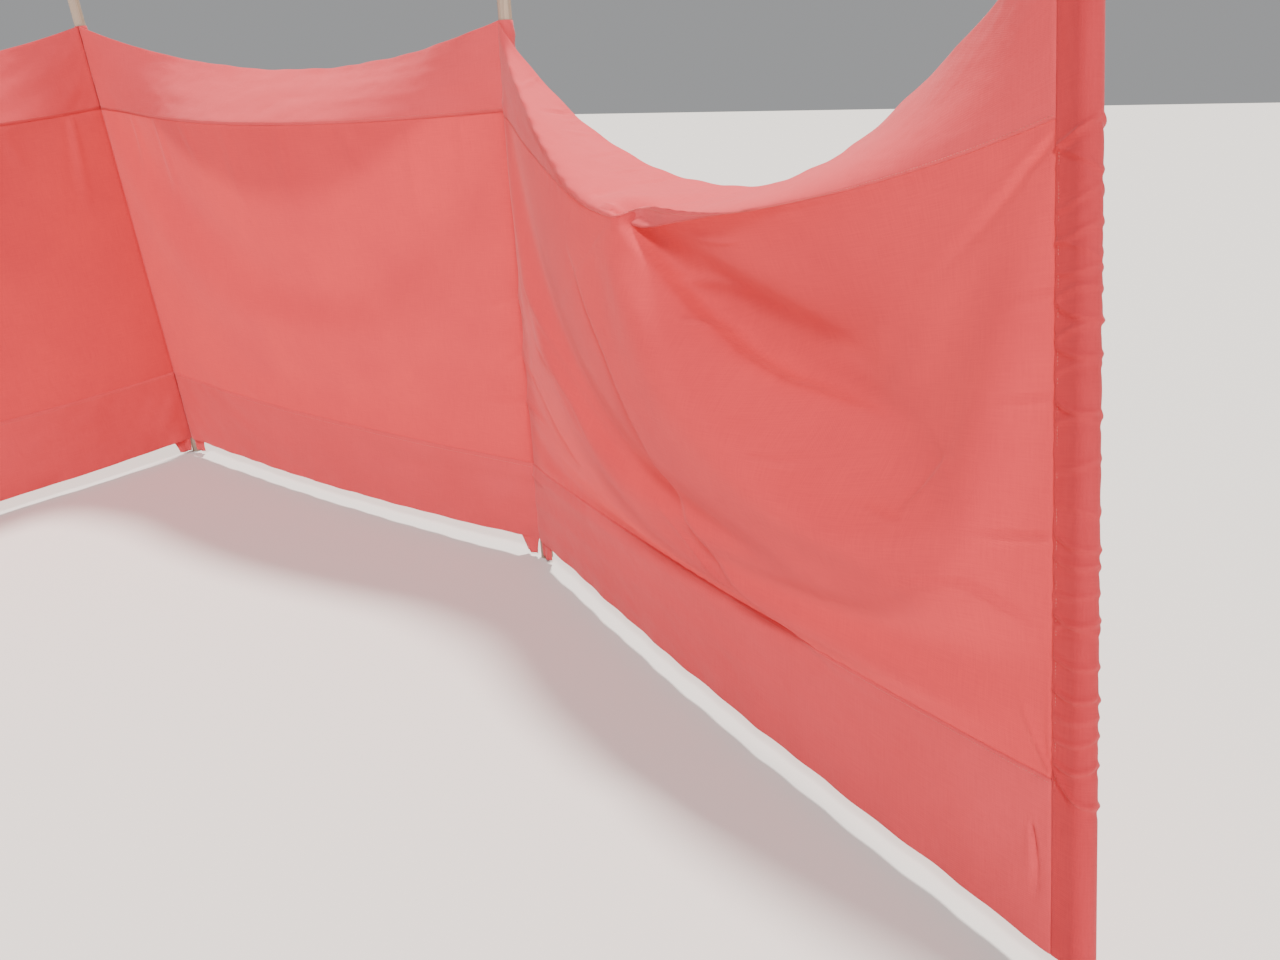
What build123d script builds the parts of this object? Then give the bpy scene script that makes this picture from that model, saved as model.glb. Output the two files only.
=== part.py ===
from build123d import *
import os
from dataclasses import dataclass
from math import cos, pi, radians, sin, sqrt, tan, tanh

# A cloth windbreak on five round wooden poles that are pushed into the ground.
# Millimetres and degrees. +Z is up, the ground is z = 0, and the origin is the middle of the
# foot of pole 4. +X runs along bay 3, from pole 3 to pole 4, and the bays enclose the -Y side.
# Headings are turned from +X towards +Y.

# Cloth
cloth_height = 1200.0  # from the bottom edge to the top edge, flat
top_hem_width = 215.0  # doubled band along the top edge
bottom_hem_width = 215.0  # doubled band along the bottom edge
bay_width = 1520.0  # flat cloth from the middle of one pole to the middle of the next
panel_thickness = 3.0  # single cloth between the hems, thicker than the real cloth
hem_thickness = 4.5  # doubled cloth
ground_gap = 50.0  # up each pole, from the ground to the bottom edge

# Poles
pole_diameter = 28.0
pole_above_cloth = 120.0  # from the top edge of the cloth to the top of the pole
pole_top_rounding = 6.0

# Sleeves that hold the poles
sleeve_wall = 2.0
end_sleeve_width = 50.0  # from the outer fold to the stitched seam
tail_length = 45.0  # of the loose sleeve ends below the bottom edge
tail_lap = 20.0  # of the same ends above the bottom edge, behind the hem
tail_top_width = 48.0
tail_tip_width = 22.0
tail_thickness = 2.0
tail_slope = 0.04  # share of the bay over which the tail follows the cloth's direction

# Room between pieces that touch
clearance = 0.3

# Curve of the hanging cloth
bulge_power = 1.2  # a higher power keeps the cloth straight for longer next to the poles
drop_power = 1.5  # a higher power keeps more of the drop near the top
fold_start = 0.95  # height of the slanting fold at the bay's first pole, as a share of the cloth's
fold_end = 0.42  # the same at its second pole
fold_softness = 0.08  # half height of the step across the fold, as a share of the cloth's height

# Points that carry each curved cloth surface
points_along = 17
points_up_panel = 13
points_up_hem = 5


@dataclass
class Pole:
    """A pole: how far and which way it leans, and how much cloth is gathered up on it."""

    number: int
    lean: float
    lean_heading: float
    gathered_low: float  # length of cloth that has slipped down into folds in the bottom hem
    gathered_high: float  # the same in the top hem
    foot: Vector = None

    def axis(self):
        """Unit vector up the pole."""
        flat = sin(radians(self.lean))
        heading = radians(self.lean_heading)
        return Vector(flat * cos(heading), flat * sin(heading), cos(radians(self.lean)))

    def at(self, height):
        """Point on the pole's centre line, a length up the pole from the ground."""
        return self.foot + self.axis() * height

    def height_of(self, flat_height):
        """Length up the pole to a height on the flat cloth."""
        top_seam = cloth_height - top_hem_width
        low = self.gathered_low * min(flat_height / bottom_hem_width, 1)
        high = self.gathered_high * max(flat_height - top_seam, 0) / top_hem_width
        return ground_gap + flat_height - low - high

    def cloth_length(self):
        """Length of pole that the cloth covers."""
        return self.cloth_top() - ground_gap

    def cloth_top(self):
        """Length up the pole to the top edge of the cloth."""
        return self.height_of(cloth_height)

    def square_to(self, direction):
        """The part of a direction that is square to the pole, as a unit vector."""
        axis = self.axis()
        return (direction - axis * direction.dot(axis)).normalized()


@dataclass
class Bay:
    """A bay of cloth: how it is set out on the ground, and how the cloth hangs in it."""

    number: int
    slack: float  # flat width that its poles don't stretch out at the ground
    heading: float
    bottom_drop: float  # of the middle of the bottom edge below its ends
    seam_drop: float  # of the middle of the top hem's seam below its ends
    top_drop: float  # of the middle of the top edge below its ends
    bottom_in: float  # of the middle of the bottom edge towards the enclosed side
    seam_in: float  # of the middle of the top hem's seam towards the enclosed side
    top_out: float  # of the middle of the top edge away from the enclosed side
    swag: float = 0.0  # half the step across the slanting fold

    def share_below_seam(self, s):
        """How far up towards the top hem's seam a share of the cloth's height is."""
        return min(s * cloth_height / (cloth_height - top_hem_width), 1)

    def share_above_seam(self, s):
        """How far up the top hem a share of the cloth's height is."""
        return max(1 - (1 - s) * cloth_height / top_hem_width, 0)

    def drop(self, s):
        """How far the middle of the bay hangs below its ends."""
        rise = self.share_below_seam(s) ** drop_power
        below = self.bottom_drop * (1 - rise) + self.seam_drop * rise
        return below + (self.top_drop - self.seam_drop) * self.share_above_seam(s)

    def lean(self, s):
        """How far the middle of the bay stands towards the enclosed side."""
        rise = self.share_below_seam(s)
        below = self.bottom_in * (1 - rise) + self.seam_in * rise
        return below - (self.seam_in + self.top_out) * self.share_above_seam(s)

    def step(self, u, s):
        """How far the cloth stands towards the enclosed side below the fold, or away above it."""
        fold = fold_start * (1 - u) + fold_end * u
        side = tanh((fold - s) / fold_softness)
        return self.swag * side * sin(pi * u) * sin(pi * self.share_below_seam(s))

    def span(self):
        """Distance between the feet of the bay's two poles."""
        return bay_width - self.slack

    def along(self):
        """Unit vector along the bay on the ground."""
        return Vector(cos(radians(self.heading)), sin(radians(self.heading)), 0)

    def inward(self):
        """Unit vector square to the bay, towards the enclosed side."""
        return Vector(sin(radians(self.heading)), -cos(radians(self.heading)), 0)


poles = [
    Pole(1, lean=3.0, lean_heading=104.0, gathered_low=0.0, gathered_high=0.0),
    Pole(2, lean=2.0, lean_heading=190.0, gathered_low=14.0, gathered_high=16.0),
    Pole(3, lean=4.8, lean_heading=234.0, gathered_low=0.0, gathered_high=0.0),
    Pole(4, lean=3.1, lean_heading=152.0, gathered_low=30.0, gathered_high=41.0),
    Pole(5, lean=16.2, lean_heading=126.3, gathered_low=0.0, gathered_high=0.0),
]
bays = [
    Bay(
        1,
        slack=25.0,
        heading=106.0,
        bottom_drop=15.0,
        seam_drop=63.0,
        top_drop=150.0,
        bottom_in=35.0,
        seam_in=79.0,
        top_out=39.0,
    ),
    Bay(
        2,
        slack=15.0,
        heading=90.4,
        bottom_drop=15.0,
        seam_drop=53.0,
        top_drop=123.0,
        bottom_in=36.0,
        seam_in=79.0,
        top_out=30.0,
    ),
    Bay(
        3,
        slack=31.0,
        heading=0.0,
        bottom_drop=7.0,
        seam_drop=33.0,
        top_drop=102.0,
        bottom_in=28.0,
        seam_in=94.0,
        top_out=49.0,
    ),
    Bay(
        4,
        slack=0.0,
        heading=-24.2,
        bottom_drop=0.0,
        seam_drop=162.0,
        top_drop=309.0,
        bottom_in=24.0,
        seam_in=128.0,
        top_out=54.0,
        swag=90.0,
    ),
]
origin_pole = 3  # index of the pole whose foot is the origin

pole_radius = pole_diameter / 2
sleeve_inner_radius = pole_radius + clearance
sleeve_outer_radius = sleeve_inner_radius + sleeve_wall


def place_poles():
    """Sets each pole's foot, walking both ways from the pole at the origin."""
    poles[origin_pole].foot = Vector(0, 0, 0)
    for i in range(origin_pole, len(bays)):
        poles[i + 1].foot = poles[i].foot + bays[i].along() * bays[i].span()
    for i in reversed(range(origin_pole)):
        poles[i].foot = poles[i + 1].foot - bays[i].along() * bays[i].span()


def neighbours(index):
    """The bay before and the bay after a pole, or None at an end of the windbreak."""
    before = bays[index - 1] if index > 0 else None
    after = bays[index] if index < len(bays) else None
    return before, after


def away_from_end(index):
    """Direction from an end pole into its only bay."""
    before, after = neighbours(index)
    return after.along() if after else before.along() * -1


def turn_at(index):
    """Angle that the cloth turns through at an inner pole."""
    before, after = neighbours(index)
    return abs(after.heading - before.heading)


def corner_room(index):
    """How far short of the corner at an inner pole each bay's cloth stops."""
    return hem_thickness / 2 * tan(radians(turn_at(index) / 2)) + clearance / 2


def corner_offset(index):
    """Distance from an inner pole's centre line to the corner of its two bays.

    It leaves the clearance between the sleeve and the nearest edge of the doubled cloth.
    """
    half_turn = radians(turn_at(index) / 2)
    ahead = hem_thickness / 2 * cos(half_turn) - corner_room(index) * sin(half_turn)
    across = hem_thickness / 2 * sin(half_turn) + corner_room(index) * cos(half_turn)
    return ahead + sqrt((sleeve_outer_radius + clearance) ** 2 - across**2)


def cloth_line(index, bay, height):
    """Point where a bay's cloth ends at a pole, a length up the pole.

    At an end pole it is the tip of the end sleeve. At an inner pole the cloth passes in front
    of the sleeve, on the enclosed side.
    """
    pole = poles[index]
    before, after = neighbours(index)
    if before is None or after is None:
        reach = end_sleeve_width - sleeve_outer_radius + clearance
        return pole.at(height) + pole.square_to(away_from_end(index)) * reach
    forward = pole.square_to(before.inward() + after.inward())
    sideways = bay.along() if bay is after else bay.along() * -1
    return pole.at(height) + forward * corner_offset(index) + sideways * corner_room(index)


def cloth_point(bay, u, s):
    """Point on a bay's cloth: u runs along the bay and s up it, each from 0 to 1."""
    left, right = bay.number - 1, bay.number
    start = cloth_line(left, bay, poles[left].height_of(s * cloth_height))
    end = cloth_line(right, bay, poles[right].height_of(s * cloth_height))
    straight = start * (1 - u) + end * u
    hang = 4 * u * (1 - u)
    bulge = sin(pi * u) ** bulge_power
    inward = bulge * bay.lean(s) + bay.step(u, s)
    return straight + bay.inward() * inward - Vector(0, 0, bay.drop(s) * hang)


def cloth_band(bay, low, high, thickness, points_up):
    """A band of a bay's cloth between two heights, measured up the flat cloth."""
    rows = []
    for i in range(points_along):
        u = i / (points_along - 1)
        heights = [low + (high - low) * j / (points_up - 1) for j in range(points_up)]
        rows.append([cloth_point(bay, u, height / cloth_height) for height in heights])
    middle = Face.make_surface_from_array_of_points(rows)
    outward = bay.inward() * -1
    return Solid.extrude(middle.moved(Location(bay.inward() * thickness / 2)), outward * thickness)


def panel(bay):
    """The single cloth between the two hems."""
    low = bottom_hem_width + clearance / 2
    high = cloth_height - top_hem_width - clearance / 2
    return cloth_band(bay, low, high, panel_thickness, points_up_panel)


def bottom_hem(bay):
    """The doubled band along the bottom edge."""
    return cloth_band(bay, 0, bottom_hem_width - clearance / 2, hem_thickness, points_up_hem)


def top_hem(bay):
    """The doubled band along the top edge."""
    low = cloth_height - top_hem_width + clearance / 2
    return cloth_band(bay, low, cloth_height, hem_thickness, points_up_hem)


def wooden_pole(pole):
    """A round pole with a rounded top, cut level with the ground."""
    length = pole.cloth_top() + pole_above_cloth
    below = pole_diameter * tan(radians(pole.lean)) + 1
    stick_plane = Plane(origin=pole.at(-below), z_dir=pole.axis())
    stick = Cylinder(pole_radius, length + below, align=(Align.CENTER, Align.CENTER, Align.MIN))
    stick = fillet(stick.edges().sort_by(Axis.Z)[-1], pole_top_rounding)
    return split(stick_plane * stick, bisect_by=Plane.XY, keep=Keep.TOP)


def pole_plane(pole, height, x_direction):
    """Plane square to a pole, with its X axis along a direction."""
    return Plane(origin=pole.at(height), x_dir=pole.square_to(x_direction), z_dir=pole.axis())


def inner_sleeve(index):
    """The strip sewn on the back of the cloth, which wraps an inner pole as a tube."""
    pole = poles[index]
    ring = Circle(sleeve_outer_radius) - Circle(sleeve_inner_radius)
    plane = pole_plane(pole, ground_gap, neighbours(index)[0].along())
    return plane * extrude(ring, pole.cloth_length())


def teardrop(radius, tip_radius, tip_reach):
    """Outline of a loop of cloth round a pole that closes at a seam."""
    edges = Circle(radius).edges() + (Pos(tip_reach, 0) * Circle(tip_radius)).edges()
    return make_hull(edges)


def end_sleeve(index):
    """The end of the cloth, turned round an end pole and stitched to itself."""
    pole = poles[index]
    tip = end_sleeve_width - sleeve_outer_radius - sleeve_wall
    outer = teardrop(sleeve_outer_radius, sleeve_wall, tip)
    hollow = teardrop(sleeve_inner_radius, clearance, tip - sleeve_wall)
    plane = pole_plane(pole, ground_gap, away_from_end(index))
    return plane * extrude(outer - hollow, pole.cloth_length())


def tail(index, bay):
    """One loose end of an inner sleeve, behind the hem on one side of the pole."""
    corner = cloth_line(index, bay, ground_gap)
    beside = cloth_point(bay, tail_slope if bay.number > index else 1 - tail_slope, 0)
    sideways = (beside - corner).normalized()
    upward = (cloth_line(index, bay, ground_gap + tail_lap) - corner).normalized()
    outward = upward.cross(bay.along()).normalized()
    back = (hem_thickness + tail_thickness) / 2 + clearance
    start = sleeve_outer_radius + clearance
    origin = corner + outward * back + sideways * start
    plane = Plane(origin=origin, x_dir=sideways, z_dir=sideways.cross(upward))
    margin = (tail_top_width - tail_tip_width) / 2
    outline = Polygon(
        (0, tail_lap),
        (tail_top_width, tail_lap),
        (tail_top_width, 0),
        (tail_top_width - margin, -tail_length),
        (margin, -tail_length),
        (0, 0),
        align=None,
    )
    return plane * extrude(outline, tail_thickness / 2, both=True)


def sleeve_tails(index):
    """Both loose ends of an inner sleeve."""
    before, after = neighbours(index)
    return Compound([tail(index, before), tail(index, after)])


def build_nodes():
    """Every piece of the windbreak by its name."""
    place_poles()
    nodes = {}
    for bay in bays:
        nodes[f"bay_{bay.number}_panel"] = panel(bay)
        nodes[f"bay_{bay.number}_top_hem"] = top_hem(bay)
        nodes[f"bay_{bay.number}_bottom_hem"] = bottom_hem(bay)
    for index, pole in enumerate(poles):
        nodes[f"pole_{pole.number}"] = wooden_pole(pole)
        if None in neighbours(index):
            nodes[f"pole_{pole.number}_sleeve"] = end_sleeve(index)
        else:
            nodes[f"pole_{pole.number}_sleeve"] = inner_sleeve(index)
            nodes[f"pole_{pole.number}_sleeve_tails"] = sleeve_tails(index)
    return nodes


os.makedirs("parts", exist_ok=True)
for name, shape in build_nodes().items():
    export_step(shape, f"parts/{name}.step")
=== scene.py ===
import logging
import math
from collections.abc import Callable
from dataclasses import dataclass
from enum import Enum
from functools import partial

import bpy
import numpy as np
from mathutils import Matrix, Vector


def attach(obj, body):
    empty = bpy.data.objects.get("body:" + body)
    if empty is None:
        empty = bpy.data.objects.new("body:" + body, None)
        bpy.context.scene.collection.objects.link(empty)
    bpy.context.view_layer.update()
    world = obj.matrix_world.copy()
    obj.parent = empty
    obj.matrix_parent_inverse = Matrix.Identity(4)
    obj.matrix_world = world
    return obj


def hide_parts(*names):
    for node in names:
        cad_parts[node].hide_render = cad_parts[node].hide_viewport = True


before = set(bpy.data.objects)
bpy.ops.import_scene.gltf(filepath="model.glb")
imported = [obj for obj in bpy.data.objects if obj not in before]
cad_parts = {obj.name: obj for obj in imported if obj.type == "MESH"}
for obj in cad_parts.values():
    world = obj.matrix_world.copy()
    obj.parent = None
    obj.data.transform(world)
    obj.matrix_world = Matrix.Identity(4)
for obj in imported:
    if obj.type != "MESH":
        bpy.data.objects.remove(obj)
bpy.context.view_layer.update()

MM = 0.001
GRAVITY = 9.81
BAND = 2 * math.pi / 20  # a wave texture's bands are this far apart at a scale of 1

logging.basicConfig(level=logging.INFO, format="%(name)s: %(message)s")
log = logging.getLogger("windbreak")


def linear(hex_code: str) -> tuple[float, ...]:
    """Turns an sRGB hex colour into the linear colour that a shader takes.

    Args:
        hex_code: The colour as #RRGGBB.

    Returns:
        Red, green, blue and alpha, from 0 to 1.
    """
    parts = [int(hex_code[i:i + 2], 16) / 255 for i in (1, 3, 5)]
    return (*(p / 12.92 if p <= 0.04045 else ((p + 0.055) / 1.055) ** 2.4 for p in parts), 1.0)


def ease(x: np.ndarray) -> np.ndarray:
    """Goes smoothly from 0 to 1 as x does, and stays there outside."""
    x = np.clip(x, 0.0, 1.0)
    return x * x * (3 - 2 * x)


def bell(x: np.ndarray) -> np.ndarray:
    """A smooth bump that is 1 where x is 0 and dies away beyond 1."""
    return np.exp(-(x ** 2))


def ridge(x: np.ndarray, hollow: float, beside: float) -> np.ndarray:
    """A bump that is 1 where x is 0, with a wider hollow of some depth beside it."""
    wider = 1.3
    return bell(x) - hollow * bell((x + beside) / wider)


def wave(x: np.ndarray, length: float, phase: np.ndarray | float = 0.0) -> np.ndarray:
    """A sine wave of some length along x."""
    return np.sin(2 * np.pi * x / length + phase)


def unit(v: np.ndarray) -> np.ndarray:
    """The vector with length 1."""
    return v / np.linalg.norm(v)


def units(v: np.ndarray) -> np.ndarray:
    """A row of vectors, each with length 1."""
    return v / np.linalg.norm(v, axis=1, keepdims=True)


def square_to(axis: np.ndarray, direction: np.ndarray) -> np.ndarray:
    """The part of a direction that is square to an axis, with length 1."""
    return unit(direction - axis * (direction @ axis))


def run_along(line: np.ndarray) -> np.ndarray:
    """Length along a line of points, up to each of them."""
    return np.concatenate([[0], np.cumsum(np.linalg.norm(np.diff(line, axis=0), axis=1))])


def spline_matrix(count: int, factor: int) -> np.ndarray:
    """Weights that put factor - 1 points on a smooth curve between each two of a row.

    Args:
        count: How many points the row has.
        factor: How many steps each of its steps becomes.

    Returns:
        A matrix that turns the row's values into the finer row's values.
    """
    fine = (count - 1) * factor + 1
    weights = np.zeros((fine, count))
    for k in range(fine):
        at = min(k // factor, count - 2)
        t = k / factor - at
        shares = (
            -0.5 * t + t * t - 0.5 * t ** 3,
            1 - 2.5 * t * t + 1.5 * t ** 3,
            0.5 * t + 2 * t * t - 1.5 * t ** 3,
            -0.5 * t * t + 0.5 * t ** 3,
        )
        for index, share in enumerate(shares, at - 1):
            if index < 0:
                weights[k, :2] += (2 * share, -share)
            elif index >= count:
                weights[k, -2:] += (-share, 2 * share)
            else:
                weights[k, index] += share
    return weights


def finer(grid: np.ndarray, factor: int) -> np.ndarray:
    """A grid of values made finer both ways, on smooth curves through its own values."""
    along, up = (spline_matrix(count, factor) for count in grid.shape[:2])
    return np.einsum("ai,ijk,bj->abk", along, grid, up, optimize=True)


def surface_normals(grid: np.ndarray, towards: np.ndarray) -> np.ndarray:
    """Unit normals of a grid of points.

    Args:
        grid: The points.
        towards: Direction to the side that the normals are wanted on.

    Returns:
        A grid of unit vectors.
    """
    normals = np.cross(np.gradient(grid, axis=0), np.gradient(grid, axis=1))
    normals /= np.linalg.norm(normals, axis=2, keepdims=True) + 1e-12
    return -normals if normals.mean(axis=(0, 1)) @ towards < 0 else normals


def quads(across: int, up: int) -> np.ndarray:
    """The corners of a grid's faces, as face, corner, then place in the grid."""
    i, j = np.meshgrid(np.arange(across), np.arange(up), indexing="ij")
    return np.stack([i, j, i + 1, j, i + 1, j + 1, i, j + 1], -1).reshape(-1, 4, 2)


def add_object(name: str, data: bpy.types.ID) -> bpy.types.Object:
    """Adds an object to the scene.

    Args:
        name: Name of the object.
        data: Its mesh, camera or light.

    Returns:
        The new object.
    """
    made = bpy.data.objects.new(name, data)
    bpy.context.scene.collection.objects.link(made)
    return made


def grid_mesh(name: str, points: np.ndarray, cut: np.ndarray, wrap: bool = False,
              caps: bool = False) -> bpy.types.Object:
    """Makes a mesh of four-sided faces from a grid of points.

    Args:
        name: Name of the piece.
        points: Grid of points, in metres.
        cut: Place of each point on the flat cloth, in metres; with wrap it has one row more.
        wrap: Joins the grid's last row to its first.
        caps: Closes both ends of a wrapped grid, whose rows lie in pairs.

    Returns:
        The new object, with the flat cloth as its UV map.
    """
    across, up = points.shape[:2]
    corners = quads(across - 1, up if wrap else up - 1)
    faces = corners[..., 0] * up + corners[..., 1] % up
    uv = cut[corners[..., 0], corners[..., 1]].reshape(-1, 2)
    if caps:
        for end, turn in ((0, 1), (across - 1, -1)):
            ring = np.array([[k, k + 1, up - 2 - k, up - 1 - k][::turn] for k in range(up // 2 - 1)])
            faces = np.concatenate([faces, end * up + ring])
            uv = np.concatenate([uv, cut[end, ring].reshape(-1, 2)])
    mesh = bpy.data.meshes.new(name)
    mesh.from_pydata(points.reshape(-1, 3).tolist(), [], faces.tolist())
    mesh.uv_layers.new(name="flat_cloth").data.foreach_set("uv", uv.astype(np.float32).ravel())
    mesh.polygons.foreach_set("use_smooth", [True] * len(mesh.polygons))
    mesh.validate()
    return add_object(name, mesh)


def dress(piece: bpy.types.Object, node: str, finish: bpy.types.Material) -> None:
    """Gives a piece of cloth its finish, hangs it under the root body and hides its CAD node.

    Args:
        piece: The piece.
        node: The CAD node that it stands for.
        finish: Its material.
    """
    piece.data.materials.append(finish)
    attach(piece, "root")
    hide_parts(node)


def add_node(tree: bpy.types.NodeTree, kind: str, values: dict | None = None, links: dict | None = None,
             **settings: object) -> bpy.types.Node:
    """Adds a node with its settings and links.

    Args:
        tree: The material's node tree.
        kind: Blender's name for the kind of node, after ShaderNode.
        values: Constants for its input sockets.
        links: What feeds its input sockets: an output socket, or a node for its first output.
        **settings: The node's own settings.

    Returns:
        The new node.
    """
    node = tree.nodes.new(f"ShaderNode{kind}")
    for key, value in settings.items():
        setattr(node, key, value)
    for key, value in (values or {}).items():
        node.inputs[key].default_value = value
    for key, source in (links or {}).items():
        tree.links.new(source.outputs[0] if isinstance(source, bpy.types.Node) else source, node.inputs[key])
    return node


def new_material(name: str) -> tuple[bpy.types.Material, Callable[..., bpy.types.Node]]:
    """Makes an empty material.

    Args:
        name: Its name.

    Returns:
        The material, and add_node for its tree.
    """
    material = bpy.data.materials.new(name)
    material.use_nodes = True
    material.node_tree.nodes.clear()
    return material, partial(add_node, material.node_tree)


class Layers(Enum):
    """How many layers of the cloth lie on each other."""

    SINGLE = "single"
    DOUBLE = "double"


@dataclass(frozen=True)
class WovenCloth:
    """Plain-woven cotton and polyester cloth, dyed coral.

    The threads scatter light at all angles, so it is matt with a soft pale sheen at its edges,
    and one layer of it glows where it is lit from behind.
    """

    layers: Layers
    face: str
    shade: str
    glow: str = "#FF4C44"
    thread_mm: float = 1.3  # drawn three times as coarse as the real 0.45 mm, to show at all
    slub_mm: float = 45.0  # length of the thicker stretches of thread
    cloud_mm: float = 240.0  # size of the uneven patches of dye
    crumple_mm: float = 38.0  # size of the soft creases of packing
    roughness: float = 0.85
    sheen: float = 0.18
    single_passes: float = 0.30  # share of the light that goes through one layer
    double_passes: float = 0.18

    def material(self) -> bpy.types.Material:
        """Builds the material.

        Returns:
            The cloth's material, patterned in millimetres on the flat cloth.
        """
        material, add = new_material(f"woven_polycotton_{self.layers.value}")
        flat = add("TexCoord").outputs["UV"]
        in_mm = add("Mapping", {"Scale": (1000, 1000, 1000)}, {"Vector": flat})
        bands = {"Scale": BAND / (2 * self.thread_mm), "Distortion": 0.6, "Detail": 1.0, "Detail Scale": 0.4}
        threads = []
        for way in ("X", "Y"):
            lines = add("TexWave", bands, {"Vector": in_mm}, wave_type="BANDS", bands_direction=way,
                        wave_profile="SIN")
            threads.append(add("MapRange", {"To Min": -1.0, "To Max": 1.0}, {"Value": lines.outputs["Fac"]}))
        weave = add("Math", {}, {0: threads[0], 1: threads[1]}, operation="MULTIPLY")
        slubs = []
        for stretch in ((1 / self.slub_mm, 0.6, 1.0), (0.6, 1 / self.slub_mm, 1.0)):
            placed = add("Mapping", {"Scale": stretch}, {"Vector": in_mm})
            noise = {"Scale": 1.0, "Detail": 2.0, "Roughness": 0.6}
            slubs.append(add("TexNoise", noise, {"Vector": placed}))
        slub = add("Math", {}, {0: slubs[0], 1: slubs[1]}, operation="MULTIPLY")
        slub_share = add("MapRange", {"From Min": 0.12, "From Max": 0.42, "To Max": 0.55}, {"Value": slub})
        cloudy = add("TexNoise", {"Scale": 1 / self.cloud_mm, "Detail": 3.0, "Roughness": 0.55},
                     {"Vector": in_mm})
        cloudy_share = add("MapRange", {"From Min": 0.3, "From Max": 0.7, "To Max": 0.5}, {"Value": cloudy})
        # Painted shade: the cloth is drawn a little darker where the weave's bump is low, between the
        # threads. The slubs and dye clouds above are the cloth's own uneven colour.
        weave_hollow_shade = add("MapRange", {"From Min": -1.0, "From Max": 1.0, "To Min": 0.18, "To Max": 0.0},
                           {"Value": weave})
        shares = add("Math", {}, {0: slub_share, 1: cloudy_share}, operation="ADD")
        shares = add("Math", {}, {0: shares, 1: weave_hollow_shade}, operation="ADD", use_clamp=True)
        colour, glow = (
            add("Mix", {6: linear(first), 7: linear(second)}, {0: shares}, data_type="RGBA").outputs[2]
            for first, second in ((self.face, self.shade), (self.glow, self.face))
        )
        crumple = add("TexNoise", {"Scale": 1 / self.crumple_mm, "Detail": 4.0, "Roughness": 0.5,
                                   "Distortion": 0.8}, {"Vector": in_mm})
        soft = add("Bump", {"Strength": 0.35, "Distance": 2.2 * MM}, {"Height": crumple})
        slubby = add("Bump", {"Strength": 0.3, "Distance": 0.3 * MM}, {"Height": slub, "Normal": soft})
        woven = add("Bump", {"Strength": 0.5, "Distance": 0.12 * MM}, {"Height": weave, "Normal": slubby})
        front = add("BsdfPrincipled", {"Roughness": self.roughness, "Sheen Weight": self.sheen,
                                       "Sheen Roughness": 0.45, "Specular IOR Level": 0.25},
                    {"Base Color": colour, "Normal": woven})
        through = add("BsdfTranslucent", {}, {"Color": glow, "Normal": woven})
        passes = self.single_passes if self.layers is Layers.SINGLE else self.double_passes
        both = add("MixShader", {0: passes}, {1: front, 2: through})
        add("OutputMaterial", {}, {"Surface": both})
        return material


@dataclass(frozen=True)
class SewingThread:
    """Twisted polyester sewing thread, a shade deeper than the cloth and a little shinier, with painted
    highlights in lighter bands along its twist.
    """

    colour: str = "#D9524C"
    twist_highlight: str = "#E9807A"
    twist_mm: float = 0.5
    roughness: float = 0.5

    def material(self) -> bpy.types.Material:
        """Builds the material.

        Returns:
            The thread's material, with slanted bands for its twist, painted lighter as painted highlights.
        """
        material, add = new_material("twisted_polyester_thread")
        place = add("TexCoord").outputs["Object"]
        turned = add("Mapping", {"Rotation": (0.0, 0.6, 0.8)}, {"Vector": place})
        twist = add("TexWave", {"Scale": BAND / (self.twist_mm * MM), "Distortion": 1.0}, {"Vector": turned},
                    wave_type="BANDS", bands_direction="DIAGONAL").outputs["Fac"]
        # Painted highlight: the lighter colour lies on the raised bands of the twist.
        colour = add("Mix", {6: linear(self.colour), 7: linear(self.twist_highlight)}, {0: twist}, data_type="RGBA")
        bump = add("Bump", {"Strength": 0.4, "Distance": 0.1 * MM}, {"Height": twist})
        thread = add("BsdfPrincipled", {"Roughness": self.roughness, "Sheen Weight": 0.1},
                     {"Base Color": colour.outputs[2], "Normal": bump})
        add("OutputMaterial", {}, {"Surface": thread})
        return material


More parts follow.
